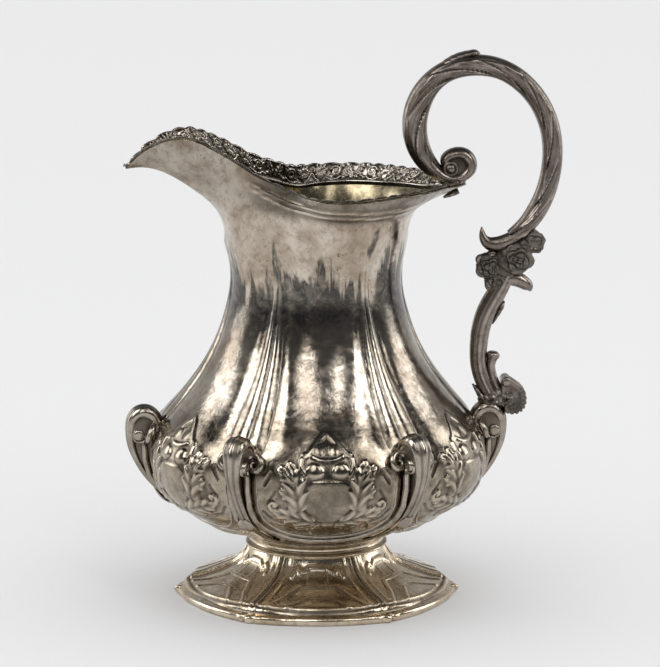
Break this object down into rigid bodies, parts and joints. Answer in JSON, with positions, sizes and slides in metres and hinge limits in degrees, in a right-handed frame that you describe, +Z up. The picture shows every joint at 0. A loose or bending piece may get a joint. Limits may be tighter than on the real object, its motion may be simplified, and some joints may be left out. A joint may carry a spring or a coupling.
{
  "type": "silver cream jug",
  "caption": "Lobed baluster cream jug with a cast leaf-scroll lip, applied scroll ribs, a pedestal foot and a high rose-set scroll handle.",
  "frame": {"origin": "centre of the foot ring, on the surface the jug stands on", "axes": "+Z up along the jug's axis; +X towards the handle, so the lip points to -X; the jug is mirror-symmetric about Y = 0"},
  "size_m": [0.1269, 0.1016, 0.1602],
  "materials": {
    "silver_body": "polished",
    "silver_foot": "polished",
    "silver_border": "satin",
    "silver_castings": "satin",
    "silver_handle": "satin",
    "silver_blooms": "satin",
    "gilt_interior": "satin"
  },
  "bodies": {
    "root": {"base_leaf": "silver_handle", "body_shell": "silver_body", "collar": "silver_body", "flower_inner": "silver_blooms", "flower_outer": "silver_blooms", "foot_rim": "silver_foot", "foot_shell": "silver_foot", "handle_bud": "silver_handle", "handle_lower_horn": "silver_handle", "handle_lower_scroll": "silver_handle", "handle_shell": "silver_handle", "handle_socket": "silver_handle", "handle_upper_horn": "silver_handle", "handle_upper_scroll": "silver_handle", "lip_border_left": "silver_border", "lip_border_right": "silver_border", "rim_tab": "silver_handle", "rose_large": "silver_blooms", "rose_low": "silver_blooms", "rose_outer": "silver_blooms", "rose_side": "silver_blooms", "scroll_rib_1": "silver_castings", "scroll_rib_2": "silver_castings", "scroll_rib_3": "silver_castings", "scroll_rib_4": "silver_castings", "scroll_rib_5": "silver_castings", "scroll_rib_6": "silver_castings", "spur_leaf": "silver_handle", "thumb_leaf": "silver_handle"}
  },
  "joints": []
}
